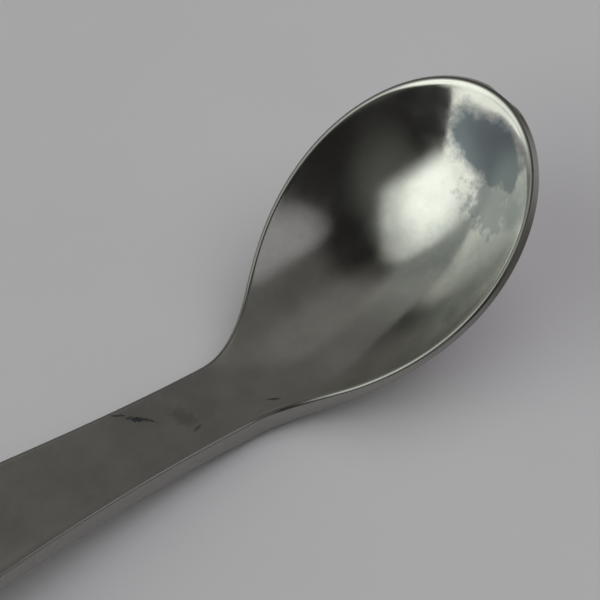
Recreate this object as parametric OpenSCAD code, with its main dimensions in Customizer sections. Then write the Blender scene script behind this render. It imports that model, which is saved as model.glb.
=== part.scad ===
// One-piece metal measuring spoon, holding one teaspoon level with its rim.
//
// A blank is cut to the outline, the bowl is pressed into it and the neck is
// bent, so the whole spoon is one plate: thin at the rim, thick in the handle.
// It is drawn flat first, as the blank, in two plate coordinates:
//   s  distance from the tip of the bowl along the plate
//   y  distance to either side of the middle line
// The side view then bends s into its curve, and the finished spoon is turned
// until it lies as it does on a table, on the heel of the bowl and the end of
// the handle. The tip of the bowl points along +X, and the table is z = 0.

/* [Bowl] */
// Width of the bowl across its top edge
bowl_w = 34.1; // [30:0.1:39]
// Distance from the tip to the widest place of the bowl
bowl_front = 21.1; // [18:0.1:26]
// Length over which the sides draw in behind the widest place
bowl_back = 30.8; // [27.5:0.1:35]
// Depth of the hollow below its rim
bowl_depth = 9.1; // [6.5:0.1:11]
// How full the hollow is: 2 is a plain dish, more is a rounder bowl
bowl_fullness = 2; // [2:0.1:3]
// How far the wall rolls outwards at the tip: 0 keeps it as steep as the sides
tip_roll = 0.22; // [0:0.02:0.4]
// Thickness of the plate at the rim
rim_t = 1.2; // [0.9:0.05:1.8]
// Thickness of the plate at the bottom of the bowl
belly_t = 1.75; // [1.3:0.05:2.4]
// Outward lean of the rim's edge face, in degrees
rim_lean = 18; // [0:1:30]

/* [Neck] */
// Width of the neck at its narrowest place
neck_w = 11.2; // [9:0.1:14.5]
// Distance from the tip to the narrowest place of the neck
neck_at = 53.9; // [49.5:0.1:60.5]
// Reach of the hollow curve between the bowl's sides and the neck
neck_fillet = 4.6; // [2.2:0.1:5.5]
// Angle between the rim of the bowl and the handle, in degrees
neck_angle = 42; // [30:0.5:50]
// Distance from the tip to the middle of the bend
bend_at = 45.1; // [42:0.1:49.5]
// Length of plate taken up by the bend
bend_length = 17.6; // [13:0.1:22]

/* [Handle] */
// Length of the whole spoon, measured along the plate
plate_length = 151.8; // [141:0.1:170]
// Width of the handle at its widest place
handle_w = 20.9; // [16.5:0.1:25]
// Distance from the end of the handle to its widest place
handle_wide_at = 18.7; // [15.5:0.1:24]
// Thickness of the plate in the handle
handle_t = 3; // [2.2:0.1:3.9]
// Rise of the middle of the handle's top face above its edges
handle_crown = 0.3; // [0:0.05:0.55]
// How far the handle arches back down towards its end, in degrees
handle_arch = 27; // [22:0.5:40]
// Length of the rounded end of the handle
end_round = 11; // [8:0.5:14]
// Length of the straight, flat land at the end of the handle
end_flat = 17.6; // [15.5:0.1:22]

/* [Hanging hole] */
// Diameter of the hole
hole_d = 5.5; // [3.5:0.25:7.5]
// Distance from the end of the handle to the middle of the hole
hole_inset = 8.8; // [7:0.1:11]

/* [Edges] */
// Rounding of the edge between the top face and the edge face
edge_r = 0.45; // [0.2:0.05:0.55]
// Rounding of the edge under the spoon
under_r = 0.4; // [0.2:0.05:0.5]

/* [Hidden] */

half_w = bowl_w / 2;
neck_half = neck_w / 2;
handle_half = handle_w / 2;
bend_start = bend_at - bend_length / 2;
bend_end = bend_at + bend_length / 2;
land_start = plate_length - end_flat;
cap_start = plate_length - end_round;
cap_power = 2.3;

// The hollow runs out behind the widest place, to nothing where the bend ends.
// A higher power makes it shallower sooner.
hollow_back = bend_end - bowl_front;
runout_power = 2.5;
// Nearer the middle than this, direction no longer counts.
least_reach = 0.001;
// The underside is a little fuller than the hollow, so the wall stays even.
under_fullness = bowl_fullness + 0.2;
// The plate thickens from the rim's to the handle's through the bend, and the
// edge face stands upright a little past it.
thicken_lead = 6.6;
thicken_start = bend_start - thicken_lead;
thicken_end = bend_end;
upright_past = 4.4;
// The crown of the handle begins in the bend and is full a little past the
// neck. It runs out again just before the flat land.
crown_past = 13;
crown_start = bend_at;
crown_end = neck_at + crown_past;
land_blend = 8.8;

// Counts of stations along the plate and of rings across it
tip_steps = 22;
plate_steps = 62;
cap_steps = 12;
round_steps = 4;
top_rings = 8;
under_rings = 7;

// ---- Small rules ----

// 0 before a, 1 after b, and a smooth step between them
function ease(v, a, b) =
    let (t = min(max((v - a) / (b - a), 0), 1))
    t * t * (3 - 2 * t);

// The larger of two lengths, with the corner between them rounded
function soft_max(a, b, reach) =
    let (near = max(reach - abs(a - b), 0) / reach)
    max(a, b) + near * near * reach / 4;

// ---- The blank, seen from above ----

// Half width of the front of the bowl: half of an ellipse
function bowl_front_half(s) =
    half_w * sqrt(max(1 - pow(1 - s / bowl_front, 2), 0));

// Half width behind the widest place, where the sides draw in
function bowl_back_half(s) =
    half_w * (1 - pow((s - bowl_front) / bowl_back, 2));

// Half width of the strap that becomes the neck and the handle
function strap_half(s) =
    let (u = min(max((s - neck_at) / (plate_length - handle_wide_at - neck_at), 0), 1))
    neck_half + (handle_half - neck_half) * (1 - cos(180 * u)) / 2;

// The rounded end of the handle, as a share of the strap's width
function cap_share(s) =
    let (u = min(max((s - cap_start) / end_round, 0), 1))
    pow(max(1 - pow(u, cap_power), 0), 1 / cap_power);

function outline_half(s) =
    s < bowl_front
        ? bowl_front_half(s)
        : soft_max(bowl_back_half(s), strap_half(s), neck_fillet) * cap_share(s);

// ---- Thickness and hollow ----

function edge_t(s) =
    rim_t + (handle_t - rim_t) * ease(s, thicken_start, thicken_end);

function middle_t(s) =
    belly_t + (handle_t - belly_t) * ease(s, bowl_front, thicken_end);

function lean(s) = rim_lean * (1 - ease(s, bend_start, bend_end + upright_past));

// Depth along the middle line: an ellipse's dip at the front, which runs out
// smoothly into the handle at the back
function middle_depth(s) =
    let (v = (s - bowl_front) / hollow_back)
    s < bowl_front ? bowl_depth : bowl_depth * pow(max(1 - v * v, 0), runout_power);

// How far out a point lies: 0 on the middle line, 1 on an outline that is
// grown from the top edge by grow
function reach_out(s, y, grow) =
    s < bowl_front
        ? norm([(bowl_front - s) / (bowl_front + grow), y / (half_w + grow)])
        : abs(y) / (outline_half(min(s, cap_start)) + grow);

// How much of the roll at the tip a point feels: all of it on the middle line
// in front, and none from the widest place back
function tip_share(s, q) =
    let (ahead = max(bowl_front - s, 0) / (bowl_front * max(q, least_reach)))
    min(ahead * ahead, 1);

// How far down a point lies at reach q, as a share of the depth: 1 on the
// middle line and 0 at the edge
function dish(s, q, fullness) =
    pow(max(1 - pow(q, fullness), 0), 1 + tip_roll * tip_share(s, q));

// The hollow begins just inside the rounded edge, which its slope makes wider.
edge_reach = 1.7;
hollow_inset = edge_reach * edge_r;

function hollow(s, y) =
    let (q = min(reach_out(s, y, -hollow_inset), 1))
    middle_depth(s) * dish(s, q, bowl_fullness);

function crown(s, y) =
    let (q = min(reach_out(s, y, -hollow_inset), 1))
    -handle_crown * ease(s, crown_start, crown_end) * (1 - end_land(s)) * q * q;

// The land around the hole is flat.
function end_land(s) = ease(s, land_start - land_blend, land_start);

function top_height(s, y) = crown(s, y) - hollow(s, y);

function under_grow(s) = edge_t(s) * sin(lean(s)) - under_r;

function under_height(s, y) =
    let (q = min(reach_out(s, y, under_grow(s)), 1))
    let (rim_drop = edge_t(s) * cos(lean(s)))
    -rim_drop - (middle_depth(s) + middle_t(s) - rim_drop) * dish(s, q, under_fullness);

// ---- The side view ----

// Upward angle of the plate, going back from the tip, against the rim
function heading(s) =
    let (u = min(max((s - bend_end) / (land_start - bend_end), 0), 1))
    neck_angle * ease(s, bend_start, bend_end) - handle_arch * u * u * u;

// The middle line is summed from short straight steps.
side_step = 0.5;
side_count = ceil(plate_length / side_step) + 1;

function side_points(i = 0, x = 0, z = 0, found = []) =
    i > side_count
        ? found
        : let (a = heading((i + 0.5) * side_step))
          side_points(i + 1, x - side_step * cos(a), z + side_step * sin(a), concat(found, [[x, z]]));

side = side_points();

function side_at(s) =
    let (k = min(max(s / side_step, 0), side_count - 1))
    let (i = min(floor(k), side_count - 1))
    side[i] + (k - i) * (side[i + 1] - side[i]);

// A point of the plate, bent into the side view
function bent(s, y, h) =
    let (p = side_at(s), a = heading(s))
    [p[0] + h * sin(a), y, p[1] + h * cos(a)];

// ---- How it lies on the table ----

// The heel is the lowest place under the bowl, and the toe is the underside at
// the end of the handle. The spoon is tilted until both are equally low.
heel_line = [for (s = [bowl_front : side_step : neck_at]) bent(s, 0, under_height(s, 0))];
toe_line = [for (s = [land_start : side_step : plate_length - under_r]) bent(s, 0, -handle_t)];

function height_of(p, tilt) = p[0] * sin(tilt) + p[2] * cos(tilt);
function lowest(line, tilt) = min([for (p = line) height_of(p, tilt)]);

// More tilt lowers the toe, so the angle is halved in on from both sides.
function settle(low, high, n = 24) =
    let (mid = (low + high) / 2)
    n == 0
        ? mid
        : lowest(heel_line, mid) < lowest(toe_line, mid)
            ? settle(mid, high, n - 1)
            : settle(low, mid, n - 1);

steepest_tilt = 60;
tilt = settle(0, steepest_tilt);

// ---- The mesh of the plate ----

// Stations: places along the outline, close together at the tip and the end
front_places = [for (i = [0 : tip_steps - 1]) bowl_front * (1 - cos(90 * i / tip_steps))];
plate_places = [for (i = [0 : plate_steps - 1]) bowl_front + (cap_start - bowl_front) * i / plate_steps];
cap_places = [for (i = [0 : cap_steps]) cap_start + end_round * sin(90 * i / cap_steps)];
places = concat(front_places, plate_places, cap_places);
last = len(places) - 1;

// The middle line's own place for each station: it starts behind the tip and
// stops before the end, so that the rings close round both
spine_front = 8.8;
spine_end = 4.4;

function spine_place(i) =
    i < tip_steps
        ? spine_front + (bowl_front - spine_front) * i / tip_steps
        : i <= last - cap_steps
            ? places[i]
            : cap_start + (end_round - spine_end) * (i - (last - cap_steps)) / cap_steps;

// Half the length over which the outline's direction is taken
outward_reach = 0.02;

// Outward direction of the outline at a station, as [s, y]
function outward(i) =
    i == 0
        ? [-1, 0]
        : i == last
            ? [1, 0]
            : let (before = max(places[i] - outward_reach, 0))
              let (after = min(places[i] + outward_reach, plate_length))
              let (rise = outline_half(after) - outline_half(before), run = after - before)
              [-rise, run] / norm([rise, run]);

// Slope of the top face just inside the edge, going down and in
slope_reach = 0.15;

function inner_slope(p, n) =
    let (a = p - n * hollow_inset, b = a - n * slope_reach)
    atan((top_height(a[0], a[1]) - top_height(b[0], b[1])) / slope_reach);

// The top's rings lie closer together towards its edge.
ring_crowding = 1.15;

// One station's rings, from the middle of the top face out over the rounded
// edge, down the edge face and back in underneath. Each is [s, y, height].
function station_top(p, n, to) =
    let (
        slope = max(inner_slope(p, n), 0),
        tilt_out = lean(p[0]),
        start = p - n * edge_r * (1 + sin(slope)),
        gap = edge_r * (1 - cos(slope)) + top_height(start[0], start[1])
    )
    concat(
        [for (k = [0 : round_steps])
            let (turn = tilt_out + (90 + slope - tilt_out) * k / round_steps)
            let (q = p - n * edge_r * (1 - cos(turn)))
            [q[0], q[1], -edge_r * (1 - sin(turn))]],
        [for (k = [1 : top_rings - 1])
            let (f = pow(k / top_rings, ring_crowding))
            let (q = start + (to - start) * f)
            [q[0], q[1], top_height(q[0], q[1]) - gap * pow(1 - f, 4)]]
    );

function station_under(p, n, to) =
    let (
        tilt_out = lean(p[0]),
        fall = edge_t(p[0]) - under_r,
        foot = p + n * fall * sin(tilt_out),
        start = foot - n * under_r,
        drop = -fall * cos(tilt_out)
    )
    concat(
        [for (k = [0 : 2])
            let (turn = 45 * k)
            let (q = start + n * under_r * cos(turn))
            [q[0], q[1], drop - under_r * sin(turn) * cos(tilt_out)]],
        [for (k = [1 : under_rings - 1])
            let (f = k / under_rings)
            let (q = start + (to - start) * f)
            [q[0], q[1], under_height(q[0], q[1])]]
    );

function mirrored(points) = [for (p = points) [p[0], -p[1], p[2]]];
function backwards(points) = [for (k = [len(points) - 1 : -1 : 0]) points[k]];

function rings_of(i) =
    let (p = [places[i], outline_half(places[i])], n = outward(i), to = [spine_place(i), 0])
    concat(backwards(station_under(p, n, to)), station_top(p, n, to));

right_rings = [for (i = [0 : last]) rings_of(i)];
ring_count = len(right_rings[0]);
around = 2 * last;

// Every ring goes once round the outline: out along one side from the tip to
// the end and back along the other.
ring_points = [for (j = [0 : around - 1])
    j <= last ? right_rings[j] : mirrored(right_rings[around - j])];
top_spine = [for (i = [0 : last]) [spine_place(i), 0, top_height(spine_place(i), 0)]];
under_spine = [for (i = [0 : last]) [spine_place(i), 0, under_height(spine_place(i), 0)]];

flat_points = concat([for (j = [0 : around - 1]) each ring_points[j]], top_spine, under_spine);
spoon_points = [for (p = flat_points) bent(p[0], p[1], p[2])];

function ring_index(j, k) = (j % around) * ring_count + k;
function spine_index(j) = let (m = j % around) m <= last ? m : around - m;
function top_index(j) = around * ring_count + spine_index(j);
function under_index(j) = around * ring_count + last + 1 + spine_index(j);

function quad(a, b, c, d) = [[a, b, c], [a, c, d]];

spoon_faces = concat(
    [for (j = [0 : around - 1], k = [0 : ring_count - 2])
        each quad(ring_index(j, k), ring_index(j, k + 1), ring_index(j + 1, k + 1), ring_index(j + 1, k))],
    [for (j = [0 : around - 1])
        each quad(ring_index(j, ring_count - 1), top_index(j), top_index(j + 1), ring_index(j + 1, ring_count - 1))],
    [for (j = [0 : around - 1])
        each quad(ring_index(j + 1, 0), under_index(j + 1), under_index(j), ring_index(j, 0))]
);

// ---- The spoon ----

// The finished spoon stands with its lowest point on the table, and the origin
// is under the middle of its length.
function length_of(p) = p[0] * cos(tilt) - p[2] * sin(tilt);
reaches = [for (p = spoon_points) length_of(p)];
middle_x = (min(reaches) + max(reaches)) / 2;
floor_drop = lowest(spoon_points, tilt);

// Where the hole goes through the plate, square to the land around it
hole_place = bent(plate_length - hole_inset, 0, -handle_t / 2);
hole_lean = heading(plate_length - hole_inset);

module blade() {
    polyhedron(points = spoon_points, faces = spoon_faces, convexity = 6);
}

module hanging_hole() {
    translate(hole_place)
        rotate([0, hole_lean, 0])
            cylinder(d = hole_d, h = 4 * handle_t, center = true, $fn = 48);
}

module spoon() {
    color("#8c8b86")
        translate([-middle_x, 0, -floor_drop])
            rotate([0, -tilt, 0])
                difference() {
                    blade();
                    hanging_hole();
                }
}

spoon();
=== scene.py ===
# %% [markdown]
# # A worn steel measuring spoon
# The object is taken to be a measuring spoon for one level teaspoon, in one piece of stainless
# steel. Such a spoon can be made so: a blank is punched out of plate, its bowl is pressed, its
# neck is bent, and it is then tumbled until it has a soft satin shine. Use has left smudges,
# small marks and a dull tarnish on it.
#
# The lesson follows the same order: the outline of the blank, the press, the bend, the
# punched hole, and then the steel, the table, the lamps and the camera.

# %% Load the fixed frame
from math import atan, atan2, cos, degrees, hypot, pi, radians, sin, sqrt

import bmesh
import bpy
from mathutils import Matrix, Vector
from mathutils.bvhtree import BVHTree


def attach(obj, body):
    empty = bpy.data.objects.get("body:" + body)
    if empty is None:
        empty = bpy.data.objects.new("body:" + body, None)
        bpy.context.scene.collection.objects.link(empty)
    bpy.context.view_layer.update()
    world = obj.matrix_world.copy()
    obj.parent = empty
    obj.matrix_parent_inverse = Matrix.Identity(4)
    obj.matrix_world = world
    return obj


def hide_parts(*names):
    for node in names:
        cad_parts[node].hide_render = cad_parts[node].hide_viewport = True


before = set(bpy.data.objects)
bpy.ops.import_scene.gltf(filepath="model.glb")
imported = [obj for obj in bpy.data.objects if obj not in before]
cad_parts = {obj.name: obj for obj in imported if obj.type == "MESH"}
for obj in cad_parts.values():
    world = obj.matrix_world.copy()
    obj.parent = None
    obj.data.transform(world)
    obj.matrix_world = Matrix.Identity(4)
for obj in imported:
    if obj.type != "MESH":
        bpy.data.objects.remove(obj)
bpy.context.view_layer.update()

# %% [markdown]
# ## The sizes of the spoon
# These are the sizes of the CAD part, in millimetres. A point of the plate is named by its
# distance s from the tip of the bowl along the plate and its distance y from the middle line.

# %% Sizes
BOWL_WIDTH, BOWL_FRONT, BOWL_BACK = 34.1, 21.1, 30.8
BOWL_DEPTH, BOWL_FULLNESS, TIP_ROLL = 9.1, 2.0, 0.22
RIM_THICK, BELLY_THICK, RIM_LEAN = 1.2, 1.75, 18.0
NECK_WIDTH, NECK_AT, NECK_FILLET = 11.2, 53.9, 4.6
NECK_ANGLE, BEND_AT, BEND_LENGTH = 42.0, 45.1, 17.6
PLATE_LENGTH, HANDLE_WIDTH, HANDLE_WIDE_AT = 151.8, 20.9, 18.7
HANDLE_THICK, HANDLE_CROWN, HANDLE_ARCH = 3.0, 0.3, 27.0
END_ROUND, END_POWER, END_FLAT = 11.0, 2.3, 17.6
HOLE_WIDTH, HOLE_INSET = 5.5, 8.8
EDGE_ROUND, UNDER_ROUND = 0.45, 0.4

BEND_START, BEND_END = BEND_AT - BEND_LENGTH / 2, BEND_AT + BEND_LENGTH / 2
LAND_START, CAP_START = PLATE_LENGTH - END_FLAT, PLATE_LENGTH - END_ROUND
HOLLOW_INSET = 1.7 * EDGE_ROUND
HOLLOW_BACK, RUNOUT_POWER = BEND_END - BOWL_FRONT, 2.5

# %% [markdown]
# ## The outline of the blank
# A cutting die gives the blank its outline: half an ellipse round the front of the bowl, sides
# that draw in behind it, and a strap that widens to a rounded end. Where sides and strap meet,
# the corner is a soft hollow curve.

# %% Outline of the blank


def outline_half(s):
    """Half the width of the blank at the distance s from the tip."""
    if s < BOWL_FRONT:
        return BOWL_WIDTH / 2 * sqrt(max(1 - (1 - s / BOWL_FRONT) ** 2, 0))
    sides = BOWL_WIDTH / 2 * (1 - ((s - BOWL_FRONT) / BOWL_BACK) ** 2)
    along = min(max((s - NECK_AT) / (PLATE_LENGTH - HANDLE_WIDE_AT - NECK_AT), 0), 1)
    widening = (1 - cos(radians(180 * along))) / 2
    strap = (NECK_WIDTH + (HANDLE_WIDTH - NECK_WIDTH) * widening) / 2
    near = max(NECK_FILLET - abs(sides - strap), 0) / NECK_FILLET
    end = min(max((s - CAP_START) / END_ROUND, 0), 1)
    rounded = max(1 - end ** END_POWER, 0) ** (1 / END_POWER)
    return (max(sides, strap) + near * near * NECK_FILLET / 4) * rounded


print("bowl", 2 * outline_half(BOWL_FRONT), "mm wide, neck",
      round(2 * outline_half(NECK_AT), 2), "mm wide")

# %% [markdown]
# ## What the press does
# The press pushes the hollow down and leaves a narrow rounded edge round it. It also thins the
# rim and leaves the handle at its full thickness, with a hint of a crown across its top face.

# %% Thickness and hollow
# How far past its named place each change along the plate runs, in millimetres
THIN_RUN, LEAN_RUN, CROWN_RUN, LAND_RUN = 6.6, 4.4, 13, 8.8
CROWN_ROUND, CROWN_SHARP = 0.4, 0.6
UNDER_FULLER = 0.2


def ease(v, a, b):
    """0 before a, 1 after b and a smooth step between them."""
    t = min(max((v - a) / (b - a), 0.0), 1.0)
    return t * t * (3 - 2 * t)


def edge_thick(s):
    """Thickness of the plate at its outline."""
    return RIM_THICK + (HANDLE_THICK - RIM_THICK) * ease(s, BEND_START - THIN_RUN, BEND_END)


def middle_thick(s):
    """Thickness of the plate on its middle line."""
    return BELLY_THICK + (HANDLE_THICK - BELLY_THICK) * ease(s, BOWL_FRONT, BEND_END)


def lean(s):
    """How far the face of the rim leans outwards, as an angle."""
    return radians(RIM_LEAN * (1 - ease(s, BEND_START, BEND_END + LEAN_RUN)))


def middle_depth(s):
    """Depth of the hollow on the middle line."""
    v = (s - BOWL_FRONT) / HOLLOW_BACK
    return BOWL_DEPTH if s < BOWL_FRONT else BOWL_DEPTH * max(1 - v * v, 0) ** RUNOUT_POWER


def reach_out(s, y, grow):
    """0 on the middle line, 1 on an outline that is grown by this much."""
    if s < BOWL_FRONT:
        q = hypot((BOWL_FRONT - s) / (BOWL_FRONT + grow), y / (BOWL_WIDTH / 2 + grow))
    else:
        q = abs(y) / (outline_half(min(s, CAP_START)) + grow)
    return min(q, 1.0)


def dish(s, q, fullness):
    """Share of the depth at reach q. The wall rolls outwards a little round the tip."""
    ahead = max(BOWL_FRONT - s, 0) / (BOWL_FRONT * max(q, 0.001))
    return max(1 - q ** fullness, 0) ** (1 + TIP_ROLL * min(ahead * ahead, 1))


def top_height(s, y):
    """Height of the top face over the flat plate, so below 0 in the hollow."""
    q = reach_out(s, y, -HOLLOW_INSET)
    land = ease(s, LAND_START - LAND_RUN, LAND_START)
    fall_off = CROWN_ROUND * q ** 2 + CROWN_SHARP * q ** 8
    crown = HANDLE_CROWN * ease(s, BEND_AT, NECK_AT + CROWN_RUN) * (1 - land) * fall_off
    return -crown - middle_depth(s) * dish(s, q, BOWL_FULLNESS)


def under_height(s, y):
    """Height of the underside over the flat plate."""
    q = reach_out(s, y, edge_thick(s) * sin(lean(s)) - UNDER_ROUND)
    rim_drop = edge_thick(s) * cos(lean(s))
    swell = middle_depth(s) + middle_thick(s) - rim_drop
    return -rim_drop - swell * dish(s, q, BOWL_FULLNESS + UNDER_FULLER)


print("hollow", -top_height(BOWL_FRONT, 0), "mm deep,",
      -under_height(BOWL_FRONT, 0) + top_height(BOWL_FRONT, 0), "mm of steel under it")

# %% [markdown]
# ## Stations and rings
# The surface is laid out in rings: a closed ring of points runs round the outline, and more
# rings lie inside it until both sides meet on the middle line. Quads that follow the outline
# shade far better on polished metal than a plain grid does, because the rounded edge then has
# whole faces of its own all the way round.

# %% Stations along the outline
TIP_STEPS, PLATE_STEPS, CAP_STEPS = 44, 190, 24
EDGE_STEPS, TOP_RINGS, CORNER_STEPS, UNDER_RINGS = 6, 24, 4, 16
SPINE_FRONT, SPINE_END = 8.8, 4.4
# The outline's direction is taken over NEARBY and the slope where the hollow starts over
# PROBE. The rings crowd towards the edge, and what is left between rounded edge and hollow
# fades out inwards.
NEARBY, PROBE = 0.02, 0.15
CROWDING, GAP_FADE = 1.3, 4

stations = [BOWL_FRONT * (1 - cos(radians(90 * i / TIP_STEPS))) for i in range(TIP_STEPS)]
stations += [BOWL_FRONT + (CAP_START - BOWL_FRONT) * i / PLATE_STEPS
             for i in range(PLATE_STEPS)]
stations += [CAP_START + END_ROUND * sin(radians(90 * i / CAP_STEPS))
             for i in range(CAP_STEPS + 1)]
LAST = len(stations) - 1


def outward(s):
    """Direction that leaves the blank square to its outline, as (along s, along y)."""
    if s <= 0 or s >= PLATE_LENGTH:
        return (-1.0, 0.0) if s <= 0 else (1.0, 0.0)
    before, after = max(s - NEARBY, 0), min(s + NEARBY, PLATE_LENGTH)
    rise, run = outline_half(after) - outline_half(before), after - before
    return -rise / hypot(rise, run), run / hypot(rise, run)


def spine_place(i):
    """Where the rings of station i end on the middle line."""
    if i < TIP_STEPS:
        return SPINE_FRONT + (BOWL_FRONT - SPINE_FRONT) * i / TIP_STEPS
    if i <= LAST - CAP_STEPS:
        return stations[i]
    return CAP_START + (END_ROUND - SPINE_END) * (i - LAST + CAP_STEPS) / CAP_STEPS


def top_rings(i):
    """Points (s, y, height) of station i, from the edge face over the rounded edge and in."""
    s, to = stations[i], spine_place(i)
    y, (out_s, out_y) = outline_half(s), outward(s)

    def height_in(distance):
        return top_height(s - out_s * distance, y - out_y * distance)

    slope = atan((height_in(HOLLOW_INSET) - height_in(HOLLOW_INSET + PROBE)) / PROBE)
    slope = max(slope, 0.0)
    low = lean(s)
    points = []
    for k in range(EDGE_STEPS + 1):
        turn = low + (radians(90) + slope - low) * k / EDGE_STEPS
        back = EDGE_ROUND * (1 - cos(turn))
        points.append((s - out_s * back, y - out_y * back, -EDGE_ROUND * (1 - sin(turn))))
    back = EDGE_ROUND * (1 + sin(slope))
    start = (s - out_s * back, y - out_y * back)
    gap = EDGE_ROUND * (1 - cos(slope)) + top_height(*start)
    for k in range(1, TOP_RINGS + 1):
        f = (k / TOP_RINGS) ** CROWDING
        at = (start[0] + (to - start[0]) * f, start[1] * (1 - f))
        points.append((*at, top_height(*at) - gap * (1 - f) ** GAP_FADE))
    return points


def under_rings(i):
    """Points of station i, from the foot of the edge face round its corner and in below."""
    s, to = stations[i], spine_place(i)
    y, (out_s, out_y) = outline_half(s), outward(s)
    fall = edge_thick(s) - UNDER_ROUND
    points = []
    for k in range(CORNER_STEPS + 1):
        turn = radians(90 * k / CORNER_STEPS)
        out = fall * sin(lean(s)) - UNDER_ROUND * (1 - cos(turn))
        points.append((s + out_s * out, y + out_y * out,
                       -(fall + UNDER_ROUND * sin(turn)) * cos(lean(s))))
    start = (s + out_s * out, y + out_y * out)
    for k in range(1, UNDER_RINGS + 1):
        f = k / UNDER_RINGS
        at = (start[0] + (to - start[0]) * f, start[1] * (1 - f))
        points.append((*at, under_height(*at)))
    return points


print(2 * LAST, "stations round the outline")

# %% [markdown]
# ## The bend
# Seen from the side, the plate turns up through the neck and arches down again towards its
# end. The side view is summed from short straight steps, and a point of the flat plate is
# carried over square to that line.

# %% Bending the plate
MM = 0.001
SIDE_STEP = 0.25


def heading(s):
    """Upward angle of the plate at s, going back from the tip."""
    u = min(max((s - BEND_END) / (LAND_START - BEND_END), 0), 1)
    return radians(NECK_ANGLE * ease(s, BEND_START, BEND_END) - HANDLE_ARCH * u ** 3)


side_line = [(0.0, 0.0)]
while len(side_line) * SIDE_STEP < PLATE_LENGTH + 1:
    turn = heading((len(side_line) - 0.5) * SIDE_STEP)
    x, z = side_line[-1]
    side_line.append((x - SIDE_STEP * cos(turn), z + SIDE_STEP * sin(turn)))


def bent(s, y, height):
    """The place in space of a point of the plate, in metres."""
    k = max(s / SIDE_STEP, 0)
    i = min(int(k), len(side_line) - 2)
    x, z = (a + (b - a) * (k - i) for a, b in zip(side_line[i], side_line[i + 1]))
    turn = heading(s)
    return Vector((x + height * sin(turn), y, z + height * cos(turn))) * MM


print("side view:", len(side_line), "points")

# %% [markdown]
# ## Building the blade ring by ring
# A circle primitive is the first ring. Each further ring is extruded from the last and set in
# its place, so one operator call makes a band of quads. No transform operator can give every
# point its own move, which is just what a press does, so the places come from the functions
# above. The rings of the underside start again from the first ring.

# %% Blade
CIRCLE_RADIUS, MERGE_WITHIN = 10 * MM, 0.002 * MM


def first_ring(name, count):
    """A circle of numbered points, left in edit mode with all of it selected."""
    bpy.ops.object.select_all(action="DESELECT")
    bpy.ops.mesh.primitive_circle_add(vertices=count, radius=CIRCLE_RADIUS)
    bpy.context.object.name = name
    bpy.ops.object.mode_set(mode="EDIT")
    bpy.ops.mesh.select_mode(type="VERT")
    mesh = bmesh.from_edit_mesh(bpy.context.object.data)
    mesh.verts.layers.float.new("cut_edge")
    station = mesh.verts.layers.int.new("station")
    for number, vert in enumerate(mesh.verts):
        vert[station] = number
    return bpy.context.object


def set_ring(piece, place, cut=0.0):
    """Puts each selected point where the rule place(station) says, and notes how far it
    belongs to the cut edge."""
    mesh = bmesh.from_edit_mesh(piece.data)
    station, cut_edge = mesh.verts.layers.int["station"], mesh.verts.layers.float["cut_edge"]
    for vert in mesh.verts:
        if vert.select:
            vert.co = bent(*place(vert[station]))
            vert[cut_edge] = cut
    bmesh.update_edit_mesh(piece.data)


def mirrored_place(rows, k):
    """Ring k of a list of stations: out along one side and back along the other."""
    def place(j):
        s, y, height = rows[j if j <= LAST else 2 * LAST - j][k]
        return s, y if j <= LAST else -y, height

    return place


spoon = first_ring("spoon_steel", 2 * LAST)
rows_top = [top_rings(i) for i in range(LAST + 1)]
rows_under = [under_rings(i) for i in range(LAST + 1)]
set_ring(spoon, mirrored_place(rows_top, 0), cut=1.0)
for k in range(1, len(rows_top[0])):
    bpy.ops.mesh.extrude_region_move()
    set_ring(spoon, mirrored_place(rows_top, k), cut=float(k < EDGE_STEPS))

bpy.ops.mesh.select_all(action="DESELECT")
mesh = bmesh.from_edit_mesh(spoon.data)
mesh.verts.ensure_lookup_table()
for vert in mesh.verts[:2 * LAST]:
    vert.select = True
mesh.select_flush_mode()
for k in range(len(rows_under[0])):
    bpy.ops.mesh.extrude_region_move()
    set_ring(spoon, mirrored_place(rows_under, k), cut=float(k < CORNER_STEPS))
bpy.ops.mesh.select_all(action="SELECT")
bpy.ops.mesh.remove_doubles(threshold=MERGE_WITHIN)
bpy.ops.mesh.normals_make_consistent(inside=False)
bpy.ops.object.mode_set(mode="OBJECT")
print("blade:", len(spoon.data.polygons), "faces")

# %% [markdown]
# ## The hanging hole
# A punch makes the hole, and tumbling rounds its edges. The punch here is turned like a lathe
# piece: a ring that is extruded along its own axis, wide where it leaves each face, so the
# Boolean modifier cuts the hole and its rounded edges in one go.

# %% Punch and hole
PUNCH_SIDES, HOLE_EDGE, EDGE_TURNS = 72, 0.3, 5
punch_profile = [(HOLE_EDGE, 1.0)]
for k in range(EDGE_TURNS + 1):
    turn = radians(90 * k / EDGE_TURNS)
    punch_profile.append((HOLE_EDGE * (1 - sin(turn)), -HOLE_EDGE * (1 - cos(turn))))
punch_profile += [(wide, -HANDLE_THICK - height) for wide, height in reversed(punch_profile)]


def only(piece):
    """Leaves this piece alone selected and active."""
    bpy.ops.object.select_all(action="DESELECT")
    piece.select_set(True)
    bpy.context.view_layer.objects.active = piece


def punch_place(wide, height):
    """Rule for a ring of the punch that is this much wider than the hole."""
    radius = HOLE_WIDTH / 2 + wide

    def place(j):
        turn = radians(360 * j / PUNCH_SIDES)
        return PLATE_LENGTH - HOLE_INSET + radius * cos(turn), radius * sin(turn), height

    return place


punch = first_ring("punch", PUNCH_SIDES)
set_ring(punch, punch_place(*punch_profile[0]))
bpy.ops.mesh.edge_face_add()
for wide, height in punch_profile[1:]:
    bpy.ops.mesh.extrude_region_move()
    set_ring(punch, punch_place(wide, height))
bpy.ops.mesh.select_all(action="SELECT")
bpy.ops.mesh.normals_make_consistent(inside=False)
bpy.ops.object.mode_set(mode="OBJECT")

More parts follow.
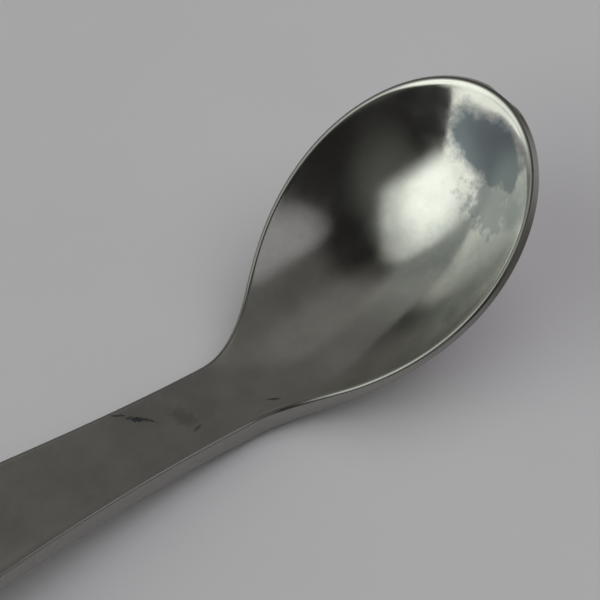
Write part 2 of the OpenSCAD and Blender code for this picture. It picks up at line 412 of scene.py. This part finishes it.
only(spoon)
bpy.ops.object.modifier_add(type="BOOLEAN")
cut = spoon.modifiers[-1]
cut.object, cut.operation, cut.solver = punch, "DIFFERENCE", "EXACT"
bpy.ops.object.modifier_apply(modifier=cut.name)
bpy.data.objects.remove(punch)
print("with its hole:", len(spoon.data.polygons), "faces")

# %% [markdown]
# ## Laying the spoon on the table
# A spoon rests on the heel of its bowl and on the end of its handle. More tilt lowers the
# handle, so the angle is halved in on from both sides until heel and handle touch together.

# %% At rest on the table
HEEL_FROM, HEEL_TO, TOE_TO = 21, 54, 17.5
STEEPEST, HALVINGS = 60, 24
SMOOTH_BELOW = 40
# Points of the underside along the middle line, two in each millimetre
heel = [bent(k / 2, 0, under_height(k / 2, 0)) for k in range(2 * HEEL_FROM, 2 * HEEL_TO)]
toe = [bent(LAND_START + k / 2, 0, -HANDLE_THICK) for k in range(int(2 * TOE_TO))]


def lowest(line, tilt):
    """Height of the lowest point of a line when the spoon is tilted."""
    return min(p.x * sin(tilt) + p.z * cos(tilt) for p in line)


flat, steep = 0.0, radians(STEEPEST)
for _ in range(HALVINGS):
    tilt = (flat + steep) / 2
    if lowest(heel, tilt) < lowest(toe, tilt):
        flat = tilt
    else:
        steep = tilt
only(spoon)
spoon.rotation_euler = (0, -tilt, 0)
bpy.ops.object.transform_apply(location=False, rotation=True, scale=False)
xs = [v.co.x for v in spoon.data.vertices]
spoon.location = (-(min(xs) + max(xs)) / 2, 0, -min(v.co.z for v in spoon.data.vertices))
bpy.ops.object.transform_apply(location=True, rotation=False, scale=False)
bpy.ops.object.shade_smooth_by_angle(angle=radians(SMOOTH_BELOW))

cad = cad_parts["spoon"]
cad_surface = BVHTree.FromPolygons([v.co for v in cad.data.vertices],
                                   [p.vertices for p in cad.data.polygons])
off = max(cad_surface.find_nearest(v.co)[3] for v in spoon.data.vertices)
print("tilt", round(degrees(tilt), 2), "degrees; farthest from the CAD part:",
      round(off / MM, 3), "mm")
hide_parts("spoon")
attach(spoon, "root")

# %% [markdown]
# ## Worn stainless steel
# The surface is taken to be stainless steel, pressed from rolled plate and tumbled, so it
# mirrors its surroundings softly. Five things break the mirror up: the plate is not quite
# even after pressing, tumbling leaves a fine grain, fingers leave smudges, a thin tarnish
# darkens it in patches, and the cut edge was never polished. Some of the darkening is painted
# shade: the big stain on the front wall of the bowl is partly tarnish and partly painted shade
# in its reflection, the veils below it are painted shade, and the darker colour of the cut edge
# is partly painted shade for the shaded table that its faces mirror. Colour, roughness and bump
# each get their own patterns, at sizes in millimetres. They are in Object coordinates, and
# only the cut edge is known by an attribute that its points were given as the blade was built.
#
# Colours are written as the hex values that a paint program shows, and a shader node is
# added with its settings and its links in one line.

# %% Colours and nodes


def linear(hex_value):
    """An sRGB hex colour as the linear numbers that shaders use."""
    parts = [int(hex_value[i:i + 2], 16) / 255 for i in (1, 3, 5)]
    return [v / 12.92 if v <= 0.04045 else ((v + 0.055) / 1.055) ** 2.4 for v in parts] + [1.0]


def add_node(tree, kind, links=(), **settings):
    """Adds a node. Settings name its properties, or its sockets as in_NAME; links are
    (input socket, output socket) pairs."""
    node = tree.nodes.new(kind)
    for name, value in settings.items():
        if name.startswith("in_"):
            key = name[3:]
            socket = int(key) if key.isdigit() else key.replace("_", " ")
            node.inputs[socket].default_value = value
        else:
            setattr(node, name, value)
    for socket, source in links:
        tree.links.new(source, node.inputs[socket])
    return node


def per_mm(size):
    """Noise scale for a pattern of this size in millimetres."""
    return 1 / (size * MM)


print("a mid grey of #808080 is", round(linear("#808080")[0], 3), "in linear light")

# %% Steel
steel = bpy.data.materials.new("stainless steel, tumbled and worn")
steel.use_nodes = True
tree = steel.node_tree
shader = tree.nodes["Principled BSDF"]
shader.inputs["Metallic"].default_value = 1.0
place = add_node(tree, "ShaderNodeTexCoord").outputs["Object"]

# Tarnish: cloudy patches about 7 mm across with a fine ragged grain in them
clouds = add_node(tree, "ShaderNodeTexNoise", [("Vector", place)],
                  in_Scale=per_mm(7), in_Detail=7.0, in_Roughness=0.66)
tarnish = add_node(tree, "ShaderNodeMapRange", [("Value", clouds.outputs["Fac"])],
                   in_From_Min=0.38, in_From_Max=0.64)
steel_colour = add_node(tree, "ShaderNodeMix", [("Factor", tarnish.outputs["Result"])],
                        data_type="RGBA")
steel_colour.inputs["A"].default_value = linear("#D2D1CD")
steel_colour.inputs["B"].default_value = linear("#C2C1BD")

# Single marks: each is a flat egg of darker colour with a torn edge. The list gives its
# middle, half sizes and turn, in millimetres and degrees, the size of the tears, how deep and
# how soft they are, and how dark the mark is. First comes the big bluish stain on the front
# wall with its ragged lower end, partly tarnish and partly painted shade that darkens the
# reflection there. Then come two veils below it, which are painted shade that dulls too bright
# a reflection of the bowl in itself, and then the marks on the handle.
MARKS_AND_PAINTED_SHADE = [
    ((67.8, -2.2, 21.3), (8.6, 4.9, 5.0), (67, -7, -96), 3.0, 1.0, 0.4, 0.95),
    ((64.4, -6.2, 16.8), (5.6, 4.4, 5.0), (54, -28, -92), 1.6, 2.4, 0.6, 0.70),
    ((61.0, -10.6, 15.8), (10.5, 4.6, 5.0), (38, -44, -86), 4.0, 1.8, 1.2, 0.50),
    ((64.8, -11.2, 20.3), (6.0, 5.0, 5.0), (0, 0, 0), 3.0, 1.8, 1.2, 0.75),
    ((15.3, 2.9, 5.7), (1.3, 0.42, 2.0), (0, 0, -42), 0.4, 2.4, 0.5, 1.0),
    ((13.8, 4.7, 5.9), (0.9, 0.2, 2.0), (0, 0, -35), 0.4, 2.4, 0.5, 0.8),
    ((16.6, 1.8, 5.5), (0.9, 0.18, 2.0), (0, 0, -60), 0.4, 2.4, 0.5, 0.8),
    ((20.2, 0.0, 5.0), (1.9, 1.1, 2.0), (0, 0, -60), 0.7, 2.4, 0.9, 0.35),
    ((20.6, -2.4, 4.9), (0.8, 0.2, 2.0), (0, 0, 15), 0.4, 2.4, 0.5, 0.6),
    ((31.0, -4.0, 3.5), (0.9, 0.2, 2.0), (0, 0, -35), 0.4, 2.4, 0.5, 0.8),
    ((52.4, -12.8, 11.3), (1.8, 1.1, 2.0), (0, 0, 40), 0.8, 2.4, 0.9, 0.35),
    ((67.0, -10.7, 24.5), (0.5, 0.3, 0.4), (0, 0, 0), 0.4, 2.4, 0.5, 0.8),
]
# An untorn mark would end at this share of its half sizes
EGG_EDGE = 0.9
marks_and_painted_shade = None
for middle, reach, turn, tears, deep, soft, dark in MARKS_AND_PAINTED_SHADE:
    egg = add_node(tree, "ShaderNodeMapping", [("Vector", place)], vector_type="TEXTURE",
                   in_Location=Vector(middle) * MM, in_Rotation=[radians(a) for a in turn],
                   in_Scale=Vector(reach) * MM)
    from_middle = add_node(tree, "ShaderNodeVectorMath", [(0, egg.outputs["Vector"])],
                           operation="LENGTH")
    torn = add_node(tree, "ShaderNodeTexNoise", [("Vector", place)],
                    in_Scale=per_mm(tears), in_Detail=5.0, in_Roughness=0.65)
    edge = add_node(tree, "ShaderNodeMath",
                    [(0, torn.outputs["Fac"]), (2, from_middle.outputs["Value"])],
                    operation="MULTIPLY_ADD", in_1=deep)
    middle_edge = EGG_EDGE + deep / 2
    darkening = add_node(tree, "ShaderNodeMapRange", [("Value", edge.outputs["Value"])],
                    in_From_Min=middle_edge + soft / 2, in_From_Max=middle_edge - soft / 2,
                    in_To_Max=dark).outputs["Result"]
    marks_and_painted_shade = darkening if marks_and_painted_shade is None else add_node(
        tree, "ShaderNodeMath", [(0, marks_and_painted_shade), (1, darkening)], operation="MAXIMUM").outputs["Value"]
# Darker colour where marked: tarnish and dirt, plus painted shade in the reflection on the
# bowl's front wall
marked_and_shaded = add_node(tree, "ShaderNodeMix", [("Factor", marks_and_painted_shade)], data_type="RGBA")
tree.links.new(steel_colour.outputs["Result"], marked_and_shaded.inputs["A"])
marked_and_shaded.inputs["B"].default_value = linear("#6A7379")

# The cut edge all round is duller and darker. Its roughness is that of an edge never polished
# on its face; its darker colour is partly that and partly painted shade for the shaded table
# that its faces mirror.
cut_edge = add_node(tree, "ShaderNodeAttribute", attribute_name="cut_edge").outputs["Fac"]
edged_and_shaded = add_node(tree, "ShaderNodeMix", [("Factor", cut_edge)], data_type="RGBA")
tree.links.new(marked_and_shaded.outputs["Result"], edged_and_shaded.inputs["A"])
edged_and_shaded.inputs["B"].default_value = linear("#9B9A96")
tree.links.new(edged_and_shaded.outputs["Result"], shader.inputs["Base Color"])

# Smudges and handling: the shine is uneven over about 5 mm, and duller where it is marked
smudges = add_node(tree, "ShaderNodeTexNoise", [("Vector", place)],
                   in_Scale=per_mm(5), in_Detail=6.0, in_Roughness=0.65)
dullness = add_node(tree, "ShaderNodeMapRange", [("Value", smudges.outputs["Fac"])],
                    in_From_Min=0.3, in_From_Max=0.7, in_To_Min=0.08, in_To_Max=0.17)
duller = add_node(tree, "ShaderNodeMath", [(0, marks_and_painted_shade), (2, dullness.outputs["Result"])],
                  operation="MULTIPLY_ADD", in_1=0.1)
roughness = add_node(tree, "ShaderNodeMath", [(0, cut_edge), (2, duller.outputs["Value"])],
                     operation="MULTIPLY_ADD", in_1=0.14)
tree.links.new(roughness.outputs["Value"], shader.inputs["Roughness"])

# Unevenness of the pressed plate: waves of about 6 mm, about a hundredth of a millimetre high
waves = add_node(tree, "ShaderNodeTexNoise", [("Vector", place)],
                 in_Scale=per_mm(6), in_Detail=2.0, in_Roughness=0.5)
wave_bump = add_node(tree, "ShaderNodeBump", [("Height", waves.outputs["Fac"])],
                     in_Strength=1.0, in_Distance=0.012 * MM)
# Grain left by the tumbling stones, drawn at 0.35 mm because the real one is too fine to see
grain = add_node(tree, "ShaderNodeTexNoise", [("Vector", place)],
                 in_Scale=per_mm(0.35), in_Detail=3.0, in_Roughness=0.6)
grain_bump = add_node(tree, "ShaderNodeBump", [("Height", grain.outputs["Fac"]),
                                               ("Normal", wave_bump.outputs["Normal"])],
                      in_Strength=1.0, in_Distance=0.002 * MM)
tree.links.new(grain_bump.outputs["Normal"], shader.inputs["Normal"])
spoon.data.materials.clear()
spoon.data.materials.append(steel)
print("steel:", len(tree.nodes), "nodes,", len(MARKS_AND_PAINTED_SHADE), "single marks")

# %% [markdown]
# ## The table
# A matt light grey sheet of card. It is far larger than the picture, so that it also fills the
# picture from the sides.

# %% Table
TABLE_SIZE = 6
card = bpy.data.materials.new("light grey card, matt")
card.use_nodes = True
tree = card.node_tree
shader = tree.nodes["Principled BSDF"]
shader.inputs["Roughness"].default_value = 0.8
shader.inputs["Specular IOR Level"].default_value = 0.3
place = add_node(tree, "ShaderNodeTexCoord").outputs["Object"]
mottle = add_node(tree, "ShaderNodeTexNoise", [("Vector", place)],
                  in_Scale=per_mm(25), in_Detail=3.0, in_Roughness=0.5)
tone = add_node(tree, "ShaderNodeMix", [("Factor", mottle.outputs["Fac"])], data_type="RGBA")
tone.inputs["A"].default_value = linear("#D8D6D9")
tone.inputs["B"].default_value = linear("#DDDBDE")
tree.links.new(tone.outputs["Result"], shader.inputs["Base Color"])
bpy.ops.object.select_all(action="DESELECT")
bpy.ops.mesh.primitive_plane_add(size=TABLE_SIZE)
table = bpy.context.object
table.name = "table"
table.data.materials.append(card)
print("table:", TABLE_SIZE, "m square")

# %% [markdown]
# ## Lamps and surroundings
# What a metal looks like is what it mirrors, so the room is built as the bowl sees it. One
# large window stands beyond the handle, and something dark cuts off its lower right corner.
# The wall beside it grows paler towards it. The side where the camera stands is dark. Each of
# these is a Background shader of its own. The parts are cut out of the room by soft-edged
# planes that all pass through the spoon, and by soft round patches. Their directions and
# levels were found by following the view from the camera off the metal, so this room suits
# this view best.

# %% The room


def compass(azimuth, elevation=0.0):
    """Direction with this azimuth from +X and this height above the table, in degrees."""
    across = cos(radians(elevation))
    return Vector((across * cos(radians(azimuth)), across * sin(radians(azimuth)),
                   sin(radians(elevation))))


world = bpy.data.worlds.new("room")
bpy.context.scene.world = world
world.use_nodes = True
tree = world.node_tree
direction = add_node(tree, "ShaderNodeTexCoord").outputs["Generated"]


def patch(towards, full_within, none_beyond):
    """1 within so many degrees of a direction, 0 beyond some more, and smooth in between."""
    near = add_node(tree, "ShaderNodeVectorMath", [(0, direction)], operation="DOT_PRODUCT",
                    in_1=tuple(towards))
    return add_node(tree, "ShaderNodeMapRange", [("Value", near.outputs["Value"])],
                    interpolation_type="SMOOTHSTEP", in_From_Min=cos(radians(none_beyond)),
                    in_From_Max=cos(radians(full_within))).outputs["Result"]


def right_of(start, end, soft):
    """The part of the room to the right of the straight edge from one direction to another."""
    return patch(compass(*start).cross(compass(*end)).normalized(), 90 - soft, 90 + soft)


def lower_than(full_below, none_above):
    """1 below one height over the horizon, 0 above another, in degrees."""
    return patch((0, 0, -1), 90 + full_below, 90 + none_above)


# The shadowy side of the room, and how bright the room is in it and outside it
IN_SHADE, OUT_OF_SHADE = 0.022, 0.125
shade = add_node(tree, "ShaderNodeMath",
                 [(0, right_of((108, 80), (108, 0), 7)), (1, right_of((264, 0), (264, 80), 6))],
                 operation="MULTIPLY")
room_level = add_node(tree, "ShaderNodeMapRange", [("Value", shade.outputs["Value"])],
                      in_To_Min=OUT_OF_SHADE, in_To_Max=IN_SHADE)

# The edges of the window go round it clockwise. The wall on its right shares the first two.
opening = [right_of((166, -6), (208, 31), 6), right_of((213, 30), (213, 48), 9)]
window = opening + [right_of((212, 50), (165, 71), 5), right_of((165, 71), (131, 60), 6),
                    right_of((131, 60), (131, 0), 4)]
wall = opening + [lower_than(56, 72), patch(compass(165), 30, 95)]

# Colour, strength and edges of each part of the room. They are added up.
PARTS_OF_ROOM = [
    ("#FFFBF4", 1.0, [room_level.outputs["Result"]]),
    ("#FFFBF4", 0.06, [patch(compass(70, 72), 2, 28)]),
    ("#F5FFF7", 0.38, wall),
    ("#FBFFF6", 0.41, window),
    ("#FBFFF6", 0.70, window + [patch(compass(166, 26), 4, 34)]),
    ("#FBFFF6", 0.085, [patch(compass(206, 34), 4, 31)]),
    ("#FBFAFF", 0.25, [patch(compass(273, 49), 4, 16)]),
    ("#FBFAFF", 0.50, [patch(compass(338, 38), 5, 40), lower_than(45, 62)]),
]
seen = None
for colour, level, edges in PARTS_OF_ROOM:
    strength = None
    for edge in edges:
        so_far = [(1, strength)] if strength else []
        strength = add_node(tree, "ShaderNodeMath", [(0, edge)] + so_far,
                            operation="MULTIPLY", in_1=level).outputs["Value"]
    part = add_node(tree, "ShaderNodeBackground", [("Strength", strength)],
                    in_Color=linear(colour))
    seen = part if seen is None else add_node(
        tree, "ShaderNodeAddShader", [(0, seen.outputs[0]), (1, part.outputs[0])])
tree.links.new(seen.outputs[0], tree.nodes["World Output"].inputs["Surface"])
print("room:", len(PARTS_OF_ROOM), "parts")

# %% [markdown]
# A wide soft lamp high on the right gives the table its level and opens the shadow that the
# window throws. The metal doesn't see its face, which would be a hard white stripe in every
# rounded edge: a soft pale patch of the room stands there instead.

# %% Soft lamp
LAMP_WIDTH, LAMP_HEIGHT, LAMP_AWAY, LAMP_RADIANCE = 0.9, 0.7, 0.8, 1.05
LAMP_TOWARDS, LAMP_AIM = compass(340, 66), Vector((40, 0, 10)) * MM
bpy.ops.object.light_add(type="AREA")
lamp = bpy.context.object
lamp.name = "soft lamp high on the right"
lamp.location = LAMP_AIM + LAMP_TOWARDS * LAMP_AWAY
lamp.rotation_euler = LAMP_TOWARDS.to_track_quat("Z", "Y").to_euler()
lamp.data.shape = "RECTANGLE"
lamp.data.size, lamp.data.size_y = LAMP_WIDTH, LAMP_HEIGHT
lamp.data.energy = LAMP_RADIANCE * LAMP_WIDTH * LAMP_HEIGHT * pi
lamp.data.color = linear("#FBFAFF")[:3]
lamp.visible_glossy = False
print("lamp:", round(lamp.data.energy, 2), "W,", LAMP_AWAY, "m from the bowl")

# %% [markdown]
# The front wall of the bowl looks back along the table, below the window's sill. Three low
# cards stand there, as they would in a studio: a bright one that carries the window on down to
# the table, and two black ones that stand before its end and beside it. Only the metal sees
# them: they light nothing and are out of the picture.

# %% Reflector cards
CARD_AWAY, BLACK_CARD_AWAY, CARD_HEIGHT = 190 * MM, 190 * MM * 0.95, 29 * MM
BRIGHT, BLACK = 1.25, 0.022
TIP_AT = Vector((70, 0, 0)) * MM


def low_card(name, colour, radiance, azimuths, away, cut=0.0):
    """A card that stands on the table between two azimuths, seen from the tip. Its corner at
    the top of the first edge can be cut back by a share of its length."""
    ends = [TIP_AT + compass(azimuth) * away for azimuth in azimuths]
    run = ends[1] - ends[0]
    middle = (ends[0] + ends[1]) / 2 + Vector((0, 0, CARD_HEIGHT / 2))
    bpy.ops.mesh.primitive_plane_add(size=1, location=middle,
                                     rotation=(radians(90), 0, atan2(run.y, run.x)))
    card = bpy.context.object
    card.name = name
    card.scale = (run.length, CARD_HEIGHT, 1)
    for vert in card.data.vertices:
        if vert.co.x < 0 < vert.co.y:
            vert.co.x += cut
    card.visible_camera = card.visible_diffuse = card.visible_shadow = False
    paint = bpy.data.materials.new(name)
    paint.use_nodes = True
    shader = paint.node_tree.nodes["Principled BSDF"]
    shader.inputs["Base Color"].default_value = (0, 0, 0, 1)
    shader.inputs["Specular IOR Level"].default_value = 0.0
    shader.inputs["Emission Color"].default_value = linear(colour)
    shader.inputs["Emission Strength"].default_value = radiance
    card.data.materials.append(paint)


low_card("bright card", "#FBFFF6", BRIGHT, (131, 186), CARD_AWAY)
low_card("black card", "#FFFFFF", BLACK, (163, 196), BLACK_CARD_AWAY, cut=0.3)
low_card("black card beside it", "#FFFFFF", BLACK, (196, 226), BLACK_CARD_AWAY)
print("cards:", round(CARD_HEIGHT / MM), "mm high,", round(CARD_AWAY / MM), "mm from the tip")

# %% [markdown]
# ## The camera
# The picture looks down at the spoon from its left side, past the handle, with a long lens.
# Turn, tilt and roll were found by matching the outline of the rim and the handle.

# %% Camera
CAMERA_AT = Vector((-55.72, -139.91, 225.67)) * MM
CAMERA_TURN, CAMERA_TILT, CAMERA_ROLL = 55.917, 51.538, -4.765
bpy.ops.object.camera_add()
camera = bpy.context.object
camera.name = "camera"
camera.matrix_world = (Matrix.Translation(CAMERA_AT)
                       @ Matrix.Rotation(radians(CAMERA_TURN - 90), 4, "Z")
                       @ Matrix.Rotation(radians(90 - CAMERA_TILT), 4, "X")
                       @ Matrix.Rotation(radians(CAMERA_ROLL), 4, "Z"))
camera.data.lens, camera.data.sensor_width = 132.0, 36.0
camera.data.clip_start, camera.data.clip_end = 0.01, 20.0
bpy.context.scene.camera = camera
bpy.context.scene.view_settings.view_transform = "Standard"
print("camera:", round(CAMERA_AT.z / MM), "mm over the table, lens", camera.data.lens, "mm")
